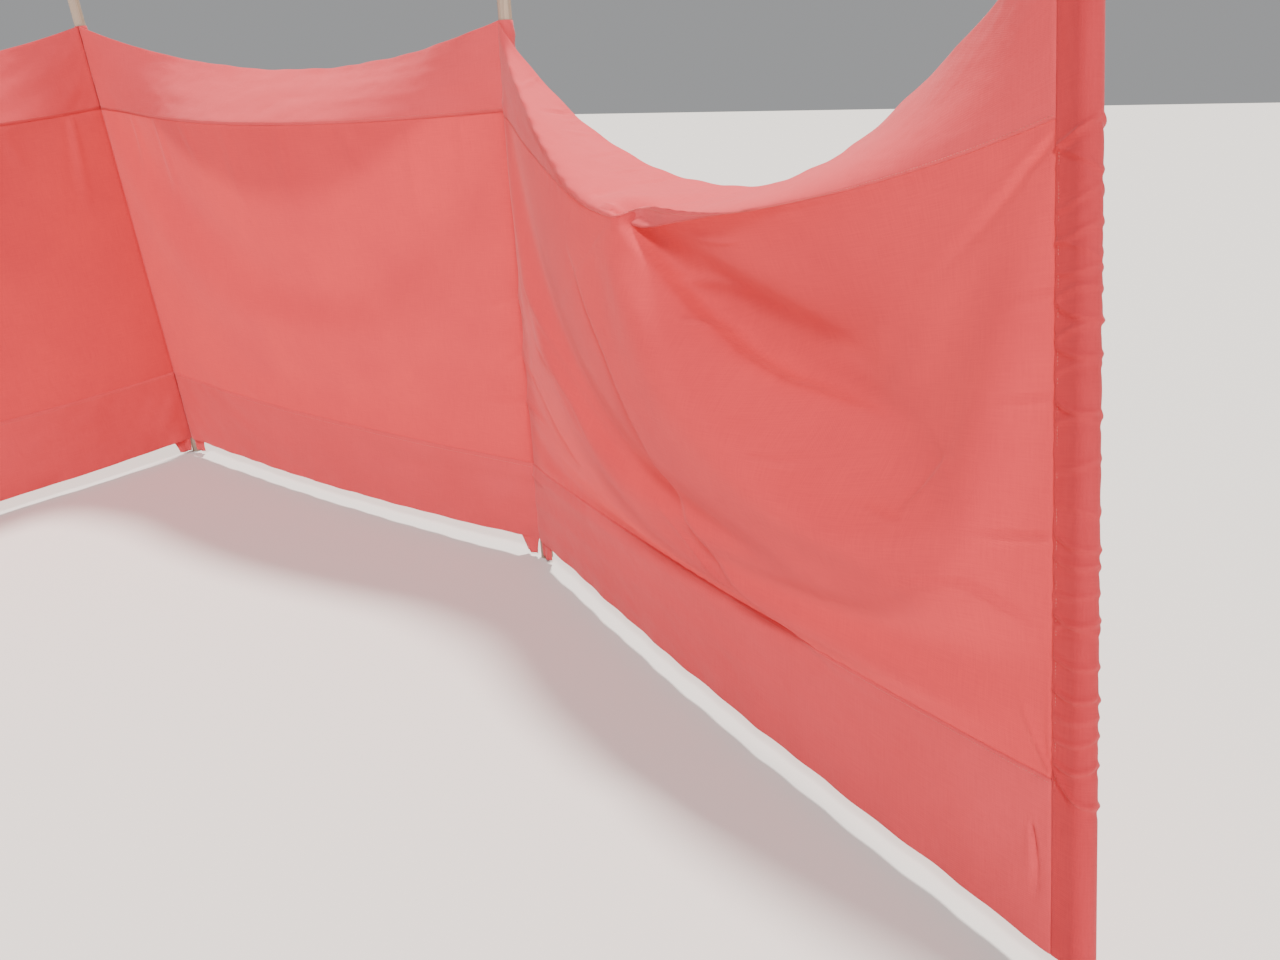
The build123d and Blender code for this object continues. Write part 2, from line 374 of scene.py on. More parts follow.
@dataclass(frozen=True)
class TurnedPine:
    """Pine dowel, turned round and left bare out of doors.

    It has straight grain along the pole, rings on its end, and a greyed, dull surface that is
    darker with soil at the foot.
    """

    early: str = "#C9AC8C"
    late: str = "#A07F60"
    grey: str = "#A39A90"
    soil: str = "#6B5A48"
    ring_mm: float = 3.2
    pith_mm: float = 22.0  # how far the middle of the tree was from the middle of the pole
    fibre_mm: float = 1.1
    soil_height: float = 0.07
    roughness: float = 0.68

    def material(self, pole: "PoleLine") -> bpy.types.Material:
        """Builds the material for one pole.

        Args:
            pole: The pole, whose line the grain follows.

        Returns:
            The wood's material, set in the pole's own direction.
        """
        material, add = new_material(f"turned_pine_pole_{pole.number}")
        turn = Vector((0, 0, 1)).rotation_difference(Vector(pole.axis)).to_euler()
        on_pole = add("Mapping", {"Location": tuple(pole.foot), "Rotation": tuple(turn)},
                      {"Vector": add("TexCoord").outputs["Object"]}, vector_type="TEXTURE")
        turn_round = Matrix.Rotation(1.7 * pole.number, 3, "Z").to_euler()
        turned = add("Mapping", {"Location": (self.pith_mm * MM, 0, 0), "Rotation": tuple(turn_round)},
                     {"Vector": on_pole}, vector_type="POINT")
        slow, stretched = (
            add("Mapping", {"Scale": (1.0, 1.0, upright)}, {"Vector": turned}) for upright in (0.12, 0.03)
        )
        rings = add("TexWave", {"Scale": BAND / (self.ring_mm * MM), "Distortion": 5.0, "Detail": 2.0,
                                "Detail Scale": 0.25}, {"Vector": slow}, wave_type="RINGS",
                    rings_direction="Z", wave_profile="SAW").outputs["Fac"]
        fibres = add("TexNoise", {"Scale": 1 / (self.fibre_mm * MM), "Detail": 3.0, "Roughness": 0.6},
                     {"Vector": stretched})
        grain = add("Math", {}, {0: rings, 1: fibres}, operation="MULTIPLY")
        wood = add("Mix", {6: linear(self.early), 7: linear(self.late)}, {0: rings}, data_type="RGBA")
        weather = add("TexNoise", {"Scale": 22.0, "Detail": 4.0, "Roughness": 0.65}, {"Vector": slow})
        greyed = add("MapRange", {"From Min": 0.35, "From Max": 0.7, "To Min": 0.3, "To Max": 0.85},
                     {"Value": weather})
        weathered = add("Mix", {7: linear(self.grey)}, {0: greyed, 6: wood.outputs[2]}, data_type="RGBA")
        height = add("SeparateXYZ", {}, {"Vector": on_pole}).outputs["Z"]
        soiled = add("MapRange", {"From Min": self.soil_height, "From Max": 0.0, "To Max": 0.8},
                     {"Value": height})
        patchy = add("Math", {}, {0: soiled, 1: weather}, operation="MULTIPLY", use_clamp=True)
        colour = add("Mix", {7: linear(self.soil)}, {0: patchy, 6: weathered.outputs[2]}, data_type="RGBA")
        rough = add("MapRange", {"To Min": self.roughness - 0.1, "To Max": self.roughness + 0.15},
                    {"Value": fibres})
        bump = add("Bump", {"Strength": 0.5, "Distance": 0.3 * MM}, {"Height": grain})
        surface = add("BsdfPrincipled", {"Specular IOR Level": 0.35},
                      {"Base Color": colour.outputs[2], "Roughness": rough, "Normal": bump})
        add("OutputMaterial", {}, {"Surface": surface})
        return material


@dataclass(frozen=True)
class StudioFloor:
    """Matt painted board, pale and even, which sets the part off and adds nothing to it."""

    colour: str = "#D8D6D2"
    roughness: float = 0.9

    def material(self) -> bpy.types.Material:
        """Builds the material.

        Returns:
            The floor's material, with a faint mottle in its roughness.
        """
        material, add = new_material("matt_painted_board")
        place = add("TexCoord").outputs["Object"]
        mottle = add("TexNoise", {"Scale": 1.5, "Detail": 3.0}, {"Vector": place})
        rough = add("MapRange", {"To Min": self.roughness - 0.06, "To Max": self.roughness},
                    {"Value": mottle})
        surface = add("BsdfPrincipled", {"Base Color": linear(self.colour), "Specular IOR Level": 0.2},
                      {"Roughness": rough})
        add("OutputMaterial", {}, {"Surface": surface})
        return material


@dataclass(frozen=True)
class Cut:
    """Sizes that the whole windbreak was cut and sewn to, in metres."""

    height: float = 1.200
    hem: float = 0.215
    bay: float = 1.520
    gap: float = 0.050  # up each pole, from the ground to the bottom edge
    sleeve_radius: float = 0.0163
    seam_reach: float = 0.0345  # from an end pole's middle to the seam of its sleeve
    seam_ahead: float = 0.0182  # from an inner pole's middle to the seam in front of it
    inner_lap: float = 0.0014  # how far the cloth runs past an inner pole's seam

    def low_seam(self) -> float:
        """Flat height of the bottom hem's seam."""
        return self.hem

    def high_seam(self) -> float:
        """Flat height of the top hem's seam."""
        return self.height - self.hem


CUT = Cut()


@dataclass(frozen=True)
class PoleLine:
    """The centre line of a pole, read from its CAD node."""

    number: int
    foot: np.ndarray
    axis: np.ndarray

    @classmethod
    def from_node(cls, number: int) -> "PoleLine":
        """Reads the line from the ring at the ground and the flat disc at the top.

        Args:
            number: The pole's number.

        Returns:
            The pole's line.
        """
        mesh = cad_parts[f"pole_{number}"].data
        points = np.array([v.co for v in mesh.vertices])
        ground = points[points[:, 2] < 0.1 * MM]
        foot = (ground.min(axis=0) + ground.max(axis=0)) / 2
        axis = unit(points.max(axis=0) / 2 + points.min(axis=0) / 2 - foot)
        for _ in range(4):
            along = (points - foot) @ axis
            disc = points[along > along.max() - 0.4 * MM]
            axis = unit((disc.min(axis=0) + disc.max(axis=0)) / 2 - foot)
        return cls(number, foot, axis)

    def at(self, height: np.ndarray) -> np.ndarray:
        """Points on the centre line at some heights up the pole."""
        return self.foot + np.asarray(height)[..., None] * self.axis


@dataclass(frozen=True)
class Tuck:
    """A place where the cloth has slipped down its pole into a small fold."""

    height: float  # up the flat cloth
    taken: float  # length of cloth in the fold
    stand: float  # how far the fold stands out


@dataclass
class PoleSeam:
    """The line up a pole where the cloth of its bays ends.

    Attributes:
        pole: The pole.
        ahead: Unit vector square to the pole, from its middle to the seam.
        reach: Distance from the pole's middle to the seam.
        lap: How far each bay's cloth runs past the seam.
        tucks: Where the cloth has slipped into folds.
        tuck_reach: Half the height over which a tuck takes up its cloth.
        tuck_bulge: Half height of the part that stands out.
    """

    pole: PoleLine
    ahead: np.ndarray
    reach: float
    lap: float
    tucks: tuple[Tuck, ...] = ()
    tuck_reach: float = 0.030
    tuck_bulge: float = 0.02

    def up_pole(self, flat: np.ndarray) -> np.ndarray:
        """Works out how high on the pole the cloth lies.

        Args:
            flat: Heights on the flat cloth.

        Returns:
            Heights up the pole.
        """
        height = np.array(flat, float)
        for tuck in self.tucks:
            share = ease((flat - tuck.height + self.tuck_reach) / (2 * self.tuck_reach))
            height = height - tuck.taken * share
        return CUT.gap + height

    def points(self, flat: np.ndarray) -> np.ndarray:
        """Works out points of the seam.

        Args:
            flat: Heights on the flat cloth.

        Returns:
            A row of points.
        """
        bulges = (tuck.stand * bell((flat - tuck.height) / self.tuck_bulge) for tuck in self.tucks)
        stand = sum(bulges, np.zeros_like(flat))
        return self.pole.at(self.up_pole(flat)) + (self.reach + stand)[:, None] * self.ahead


@dataclass(frozen=True)
class Crease:
    """A small fold in the cloth that starts at one point and dies away towards another, in mm.

    Attributes:
        start: Place of its sharp end on the flat bay, along and up.
        end: Place of its far end.
        width: Half width of the fold.
        stand: How far it stands towards the enclosed side; less than 0 for a hollow.
        bow: How far its middle bends off the straight line.
    """

    start: tuple[float, float]
    end: tuple[float, float]
    width: float
    stand: float
    bow: float = 0.0
    hollow: float = 0.35  # depth of the hollow beside it, as a share of its height
    beside: float = 1.6  # from the fold to the hollow, in half widths

    def relief(self, flat: np.ndarray) -> np.ndarray:
        """Height of the fold at each point of the flat cloth.

        Args:
            flat: Grid of places on the flat cloth, in metres.

        Returns:
            Height towards the enclosed side, in metres.
        """
        start, end = np.array(self.start) * MM, np.array(self.end) * MM
        length = np.linalg.norm(end - start)
        along = (end - start) / length
        t = (flat - start) @ along / length
        on = np.clip(t, 0, 1)
        off = (flat - start) @ np.array((-along[1], along[0])) - self.bow * MM * 4 * on * (1 - on)
        width = self.width * MM * (0.55 + 0.9 * on)
        fade = ease((t + 0.05) / 0.12) * ease((1.05 - t) / 0.8)
        return self.stand * MM * ridge(off / width, self.hollow, self.beside) * fade


@dataclass(frozen=True)
class Fold:
    """A long crisp fold, where the cloth on one side of a line hangs over the other, in mm.

    Attributes:
        path: Points of the line on the flat bay, along and up.
        step: Height of the step across it; the side above the line is the lower one.
        edge: Half width of the step.
        reach: How far to each side the cloth takes it up.
        front: Share of the step by which the side below the line stands out.
    """

    path: tuple[tuple[float, float], ...]
    step: float
    edge: float
    reach: float
    front: float = 0.5

    def relief(self, flat: np.ndarray) -> np.ndarray:
        """Height of the fold at each point of the flat cloth.

        Args:
            flat: Grid of places on the flat cloth, in metres.

        Returns:
            Height towards the enclosed side, in metres.
        """
        points = np.array(self.path) * MM
        lengths = run_along(points)
        nearest = np.full(flat.shape[:2], np.inf)
        signed, share = np.zeros(flat.shape[:2]), np.zeros(flat.shape[:2])
        for start, end, passed in zip(points, points[1:], lengths):
            length = np.linalg.norm(end - start)
            along = (end - start) / length
            run = np.clip((flat - start) @ along, 0, length)
            away = flat - start - run[..., None] * along
            far = np.linalg.norm(away, axis=2)
            closer = far < nearest
            nearest = np.where(closer, far, nearest)
            side = np.sign(away @ np.array((-along[1], along[0])))
            signed = np.where(closer, side * far, signed)
            share = np.where(closer, (passed + run) / lengths[-1], share)
        fade = np.minimum(ease(share / 0.15), ease((1 - share) / 0.35))
        side = np.where(signed > 0, 1 - self.front, self.front)
        crisp = np.tanh(signed / (self.edge * MM)) * np.exp(-(nearest / (self.reach * MM)))
        return -self.step * MM * side * fade * crisp


@dataclass(frozen=True)
class Drape:
    """The large shape of a bay's cloth before it settles, in metres.

    Inward is towards the enclosed side, and drop is below the straight line between the poles.
    Each is that of the middle of the bay, and dies away towards its poles.

    Attributes:
        profile: Inward at shares of the way up from the bottom edge to the shelf line.
        seam_drop: Drop at the shelf line, which lies near the top hem's seam.
        top_drop: Drop of the top edge.
        top_lean: Inward of the top edge.
        bottom_drop: Drop of the bottom edge.
        swag: Half the step across the slanting fold.
        fold: The slanting fold's line, as shares along and up the bay.
        shelf: The line where the top hem starts to lie back, as shares along and up.
        sharp: How sudden the fold is, as its steepness in shares of the height.
        pull: Sideways pull of the air, as a share of gravity.
        bending: Stiffness of the cloth in the settling.
        top_hold: How firmly the top hem keeps its start.
        bottom_hold: How firmly the bottom hem keeps its start.
        top_width: Share of the flat width that the top edge has, the rest being in small tucks.
    """

    profile: tuple[tuple[float, float], ...]
    seam_drop: float
    top_drop: float
    top_lean: float
    bottom_drop: float = 0.0
    swag: float = 0.0
    fold: tuple[tuple[float, float], ...] = ((0.0, 1.1), (1.0, 0.1))
    shelf: tuple[tuple[float, float], ...] = ((0.0, 0.82), (1.0, 0.82))
    sharp: float = 14.4
    pull: float = 0.2
    bending: float = 8.0
    top_hold: float = 0.3
    bottom_hold: float = 0.2
    top_width: float = 0.985


@dataclass(frozen=True)
class Settling:
    """Lets a grid of cloth settle under its own weight with Blender's cloth solver."""

    frames: int = 45
    quality: int = 6
    mass: float = 0.15
    stretch: float = 80.0
    shear: float = 10.0
    hem_bending: float = 30.0
    damping: float = 5.0

    def run(self, start: np.ndarray, flat: np.ndarray, held: np.ndarray, hem: np.ndarray,
            drape: Drape, inward: np.ndarray) -> np.ndarray:
        """Settles the cloth.

        Args:
            start: Grid of points that the cloth starts from.
            flat: The same points on the flat cloth, which gives the cloth its true size.
            held: How firmly each point keeps its start; 1 is fixed.
            hem: Which rows of the grid are doubled, and stiffer.
            drape: The bay's drape.
            inward: Unit vector towards the enclosed side.

        Returns:
            Grid of the settled points.
        """
        across, up = start.shape[:2]
        index = np.arange(across * up).reshape(across, up)
        corners = quads(across - 1, up - 1)
        mesh = bpy.data.meshes.new("settling_cloth")
        mesh.from_pydata(start.reshape(-1, 3).tolist(), [], index[corners[..., 0], corners[..., 1]].tolist())
        cloth = add_object("settling_cloth", mesh)
        cloth.shape_key_add(name="Basis")
        rest = np.stack([flat[..., 0], np.zeros((across, up)), flat[..., 1]], -1)
        cloth.shape_key_add(name="flat").data.foreach_set("co", rest.reshape(-1))
        pins = cloth.vertex_groups.new(name="held")
        for weight in np.unique(held[held > 0]):
            pins.add(index[held == weight].tolist(), float(weight), "REPLACE")
        stiff = cloth.vertex_groups.new(name="hems")
        stiff.add(index[:, hem].ravel().tolist(), 1.0, "REPLACE")
        modifier = cloth.modifiers.new("Cloth", "CLOTH")
        settings = {
            "quality": self.quality, "mass": self.mass, "compression_stiffness": self.stretch,
            "tension_stiffness": self.stretch, "shear_stiffness": self.shear,
            "bending_stiffness": drape.bending, "vertex_group_bending": stiff.name,
            "bending_stiffness_max": self.hem_bending, "shear_damping": self.damping,
            "compression_damping": self.damping, "tension_damping": self.damping, "bending_damping": 0.5,
            "air_damping": 2.0, "vertex_group_mass": pins.name, "pin_stiffness": 1.0,
            "rest_shape_key": cloth.data.shape_keys.key_blocks["flat"],
        }
        for key, value in settings.items():
            setattr(modifier.settings, key, value)
        modifier.collision_settings.use_collision = False
        modifier.point_cache.frame_start, modifier.point_cache.frame_end = 1, self.frames
        scene = bpy.context.scene
        scene.gravity = Vector((0, 0, -GRAVITY)) + Vector(inward) * GRAVITY * drape.pull
        for number in range(1, self.frames + 1):
            scene.frame_set(number)
        settled = cloth.evaluated_get(bpy.context.evaluated_depsgraph_get())
        co = np.zeros(across * up * 3, np.float32)
        settled.data.vertices.foreach_get("co", co)
        bpy.data.objects.remove(cloth)
        bpy.data.meshes.remove(mesh)
        scene.frame_set(1)
        scene.gravity = (0, 0, -GRAVITY)
        return co.reshape(across, up, 3).astype(float)


@dataclass
class Stitching:
    """Rows of machine stitches.

    Attributes:
        pitch: From one stitch to the next; drawn a little longer than the real 3 mm.
        length: Of the thread that shows.
        radius: Of the thread.
        sides: Of the thread's section.
    """

    pitch: float = 0.0042
    length: float = 0.0030
    radius: float = 0.00042
    sides: int = 4

    def stitches(self, line: np.ndarray, normals: np.ndarray) -> np.ndarray:
        """Shapes the stitches of one row.

        Args:
            line: Points that the row runs along.
            normals: The cloth's outward normals there.

        Returns:
            The points of each stitch: its start, two rings and its end.
        """
        run = run_along(line)
        middles = np.arange(self.pitch, run[-1] - self.pitch, self.pitch)
        starts, ends, normal = (
            np.stack([np.interp(places, run, values[:, k]) for k in range(3)], -1)
            for places, values in ((middles - self.length / 2, line), (middles + self.length / 2, line),
                                   (middles, normals))
        )
        along = ends - starts
        across = units(np.cross(along, normal))
        normal = units(np.cross(across, along))
        turns = [2 * math.pi * k / self.sides for k in range(self.sides)]
        rings = [
            starts[:, None] + along[:, None] * share + np.stack([
                self.radius * (math.cos(a) * across + 0.7 * math.sin(a) * normal) for a in turns
            ], axis=1)
            for share in (0.25, 0.75)
        ]
        return np.concatenate([starts[:, None], *rings, ends[:, None]], axis=1)

    def build(self, name: str, lines: list[tuple[np.ndarray, np.ndarray]],
              material: bpy.types.Material) -> bpy.types.Object:
        """Makes one mesh of the stitches along some lines.

        Args:
            name: Name of the piece.
            lines: Points of each line, and the cloth's outward normals there.
            material: The thread's material.

        Returns:
            The piece.
        """
        rows = np.concatenate([self.stitches(line, normals) for line, normals in lines])
        s, size = self.sides, rows.shape[1]
        shape = []
        for k in range(s):
            after = (k + 1) % s
            shape.append((0, 1 + after, 1 + k))
            shape.append((1 + k, 1 + after, 1 + s + after, 1 + s + k))
            shape.append((1 + s + k, 1 + s + after, 1 + 2 * s))
        faces = [tuple(number * size + c for c in face) for number in range(len(rows)) for face in shape]
        mesh = bpy.data.meshes.new(name)
        mesh.from_pydata(rows.reshape(-1, 3).tolist(), [], faces)
        mesh.polygons.foreach_set("use_smooth", [True] * len(mesh.polygons))
        mesh.materials.append(material)
        piece = add_object(name, mesh)
        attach(piece, "root")
        return piece


@dataclass
class Finishes:
    """The materials that the cloth pieces share."""

    single: bpy.types.Material
    double: bpy.types.Material
    thread: bpy.types.Material

    @classmethod
    def make(cls) -> "Finishes":
        """Builds the shared materials.

        Returns:
            Cloth in one layer, cloth in two layers, and thread.
        """
        single = WovenCloth(Layers.SINGLE, face="#E84A54", shade="#D93F47")
        # Painted light: the doubled cloth's colours are lighter than the single layer's, to make up for the
        # light that its second layer keeps back.
        double = WovenCloth(Layers.DOUBLE, face="#F05861", shade="#E34C53")
        return cls(single.material(), double.material(), SewingThread().material())


@dataclass
class ClothBay:
    """One bay of cloth between two poles: a single panel with a doubled hem above and below.

    Attributes:
        number: The bay's number.
        left: The seam at its first pole.
        right: The seam at its second pole.
        drape: How its cloth hangs.
        width: Flat width between the two seams.
        creases: Small folds that its poles and seams pull into it.
        columns: Steps of the settling grid along the bay.
        panel_rows: Steps of the settling grid up the panel.
        hem_rows: The same up each hem.
        fine: How much finer the finished grid is.
    """

    number: int
    left: PoleSeam
    right: PoleSeam
    drape: Drape
    width: float
    creases: tuple[Crease | Fold, ...] = ()
    columns: int = 60
    panel_rows: int = 39
    hem_rows: int = 11
    fine: int = 2
    soften: int = 3  # how many times the settled grid is eased
    soft_reach: float = 0.06  # distance from a hem's seam at which it is eased in full
    pole_spacing: float = 0.55  # share of the columns' spacing that closes up towards the poles
    hem_puff: float = 0.9 * MM  # half the thickness of the doubled hem
    under_hem: float = 0.008  # how far the panel reaches into each hem
    ripple: float = 0.75 * MM  # height of the small puckers beside a hem's seam
    ripple_pitch: float = 0.034
    stitch_dent: float = 0.7 * MM  # how far a hem's seam pulls the cloth in
    edge_wave: float = 1.1 * MM  # height of the slow waves along the outer edges
    groove_depth: float = 2.2 * MM  # beside a pole's seam
    groove_width: float = 3.0 * MM
    ripple_reach: float = 0.016
    dent_width: float = 0.0022
    edge_reach: float = 0.05
    flat_reach: float = 0.006  # from a pole's seam, over which the small heights start
    thread_lift: float = 0.25 * MM  # of the stitches above the cloth
    hold_fade: float = 0.04  # share of the height over which a hem's hold dies away
    bottom_held: float = 0.20  # share of the height up to which the bottom hem is held

    def __post_init__(self) -> None:
        """Works out the grid that the bay's cloth is made on."""
        run = np.linspace(0, 1, self.columns + 1)
        closed = 0.5 - 0.5 * np.cos(np.pi * run)
        self.along = self.pole_spacing * closed + (1 - self.pole_spacing) * run
        self.up = np.concatenate([
            np.linspace(0, CUT.low_seam(), self.hem_rows + 1)[:-1],
            np.linspace(CUT.low_seam(), CUT.high_seam(), self.panel_rows + 1)[:-1],
            np.linspace(CUT.high_seam(), CUT.height, self.hem_rows + 1),
        ])
        foot = self.right.pole.foot - self.left.pole.foot
        self.inward = unit(np.array([foot[1], -foot[0], 0.0]))

    def flat_cloth(self) -> np.ndarray:
        """The grid on the flat cloth, in metres along and up."""
        x, y = np.meshgrid(self.along * self.width, self.up, indexing="ij")
        return np.stack([x, y], -1)

    def true_size(self) -> np.ndarray:
        """Takes the small tucks of the top edge out of the flat cloth.

        Returns:
            The flat grid as the solver takes it.
        """
        flat = self.flat_cloth()
        share = 1 + (self.drape.top_width - 1) * ease((self.up / CUT.height - 0.75) / 0.25)
        flat[..., 0] *= share[None]
        return flat

    def start_shape(self) -> np.ndarray:
        """The cloth's large shape before it settles.

        Returns:
            Grid of points, in metres.
        """
        d = self.drape
        u, s = self.along[:, None], (self.up / CUT.height)[None]
        run = unit(self.right.pole.foot - self.left.pole.foot)
        left = self.left.points(self.up) - run * self.left.lap
        right = self.right.points(self.up) + run * self.right.lap
        points = left[None] * (1 - u)[..., None] + right[None] * u[..., None]
        hang = 4 * u * (1 - u)
        bulge = np.sin(np.pi * u) ** 1.2
        hinge = np.interp(self.along, *zip(*d.shelf))[:, None]
        line = np.interp(self.along, *zip(*d.fold))[:, None]
        below = np.clip(s / hinge, 0, 1)
        above = np.clip((s - hinge) / (1 - hinge + 1e-6), 0, 1)
        seam_lean = d.profile[-1][1]
        lean = bulge * np.where(above > 0, seam_lean + (d.top_lean - seam_lean) * above,
                                np.interp(below, *zip(*d.profile)))
        swag = d.swag * np.tanh((s - line) * d.sharp) * np.sin(np.pi * u) * np.sin(np.pi * below)
        lean = lean - swag
        drop = d.bottom_drop + (d.seam_drop - d.bottom_drop) * below ** 2
        drop = drop + (d.top_drop - d.seam_drop) * above
        points = points + self.inward * lean[..., None]
        points[..., 2] -= hang * drop
        return points

    def held(self) -> np.ndarray:
        """Works out how firmly each point of the grid keeps its start.

        Returns:
            A share for each point, which is 1 at the poles.
        """
        hinge = np.interp(self.along, *zip(*self.drape.shelf))[:, None]
        s = (self.up / CUT.height)[None]
        weights = self.drape.top_hold * ease((s - hinge + self.hold_fade) / (2 * self.hold_fade))
        weights = weights + self.drape.bottom_hold * ease((self.bottom_held - s) / self.hold_fade)
        weights = np.round(weights, 2)
        weights[0] = weights[-1] = 1.0
        return weights

    def settled(self) -> np.ndarray:
        """Lets the cloth settle.

        Returns:
            Grid of points, with the sharp ends of its folds eased away from the seams.
        """
        grid = self.start_shape()
        tolerance = 1e-6
        hem = (self.up < CUT.low_seam() + tolerance) | (self.up > CUT.high_seam() - tolerance)
        grid = Settling().run(grid, self.true_size(), self.held(), hem, self.drape, self.inward)
        away = np.minimum(self.up - CUT.low_seam(), CUT.high_seam() - self.up)
        share = ease(away / self.soft_reach)[None, :, None]
        for _ in range(self.soften):
            beside = grid.copy()
            beside[1:-1] = (grid[:-2] + 2 * grid[1:-1] + grid[2:]) / 4
            beside[:, 1:-1] = (beside[:, :-2] + 2 * beside[:, 1:-1] + beside[:, 2:]) / 4
            beside[0], beside[-1] = grid[0], grid[-1]
            grid = grid + share * (beside - grid)
        return grid

    def relief(self, flat: np.ndarray) -> np.ndarray:
        """Small height of the cloth's surface: seams, their puckers, creases and slack waves.

        Args:
            flat: The fine grid on the flat cloth.

        Returns:
            Height towards the enclosed side, in metres.
        """
        x, y = flat[..., 0], flat[..., 1]
        height = np.zeros_like(x)
        for number, seam in enumerate((CUT.low_seam(), CUT.high_seam())):
            phase = 1.3 * self.number + 2.1 * number
            ripple = wave(x, self.ripple_pitch, phase + 1.7 * wave(x, 0.19, phase))
            ripple = ripple * (0.6 + 0.4 * wave(x, 0.43, 2 * phase))
            height += self.ripple * ripple * np.exp(-np.abs(y - seam) / self.ripple_reach)
            height -= self.stitch_dent * bell((y - seam) / self.dent_width)
        for edge in (0.0, CUT.height):
            slow = wave(x, 0.27, 3 * self.number + 4 * edge) + wave(x, 0.11, edge)
            height += self.edge_wave * slow * np.exp(-np.abs(y - edge) / self.edge_reach)
        for crease in self.creases:
            height += crease.relief(flat)
        nearest = np.minimum(x, self.width - x)
        height *= ease(nearest / self.flat_reach)
        height -= self.groove_depth * bell(nearest / self.groove_width)
        return height

    def hem_mesh(self, name: str, points: np.ndarray, normals: np.ndarray,
                 flat: np.ndarray) -> bpy.types.Object:
        """Makes a doubled hem: two layers that join in a fold at the outer edge and a turned edge.

        Args:
            name: Name of the piece.
            points: Fine grid of the hem's middle surface, from the seam to the outer edge.
            normals: Unit normals of that surface.
            flat: The same points on the flat cloth.

        Returns:
            The piece.
        """
        outwards = units(points[:, -1] - points[:, -2])
        share = np.linspace(0, 1, points.shape[1])[None, :, None]
        puff = self.hem_puff * (1 + 0.8 * np.sin(np.pi * share) ** 2)
        front, back = points + normals * puff, points - normals * puff
        fold = np.stack([
            points[:, -1] + self.hem_puff * 1.15 * (outwards * math.cos(t) - normals[:, -1] * math.sin(t))
            for t in (-np.pi / 4, np.pi / 4)
        ], axis=1)
        loop = np.concatenate([front, fold, back[:, ::-1]], axis=1)
        y, last = flat[..., 1], flat[:, -1:, 1]
        down = last + 1.5 * MM + np.abs(last - y[:, ::-1]) * np.sign(last - y[:, :1])
        y = np.concatenate([y, last + 0.5 * MM, last + MM, down, down[:, -1:] + MM], axis=1)
        x = np.repeat(flat[:, :1, 0], y.shape[1], axis=1)
        return grid_mesh(name, loop, np.stack([x, y], -1), wrap=True, caps=True)

    def build(self, finishes: Finishes) -> None:
        """Builds and dresses the panel, both hems and their stitching.

        Args:
            finishes: The shared materials.
        """
        grid = finer(self.settled(), self.fine)
        flat = finer(self.flat_cloth(), self.fine)
        surface = grid + surface_normals(grid, self.inward) * self.relief(flat)[..., None]
        normals = surface_normals(surface, self.inward)
        low = self.hem_rows * self.fine
        high = (self.hem_rows + self.panel_rows) * self.fine
        tuck_in = max(1, round(self.under_hem / (flat[0, high + 1, 1] - flat[0, high, 1])))
        name = f"bay_{self.number}"
        rows = slice(low - tuck_in, high + tuck_in + 1)
        panel = grid_mesh(f"{name}_panel_cloth", surface[:, rows], flat[:, rows])
        top, bottom = (
            self.hem_mesh(f"{name}_{hem}_cloth", surface[:, part], normals[:, part], flat[:, part])
            for hem, part in (("top_hem", slice(high, None)), ("bottom_hem", slice(low, None, -1)))
        )
        lift = self.hem_puff + self.thread_lift
        lines = [
            (surface[:, row] + normals[:, row] * (side * lift), normals[:, row] * side)
            for row in (low - 1, high + 1) for side in (1, -1)
        ]
        stitching = Stitching().build(f"{name}_hem_stitching", lines, finishes.thread)
        dress(panel, f"{name}_panel", finishes.single)
        dress(top, f"{name}_top_hem", finishes.double)
        dress(bottom, f"{name}_bottom_hem", finishes.double)
        log.info("bay %d: %d faces in its panel", self.number, len(panel.data.polygons))


@dataclass(frozen=True)
class Pucker:
    """A curved fold across an end sleeve, in mm.

    Attributes:
        seam: Height of its end at the seam, up the flat cloth.
        fold: Height of its end at the outer fold.
        bow: How far its middle sags below the straight line.
        stand: How far it stands out.
    """

    seam: float
    fold: float
    bow: float
    stand: float


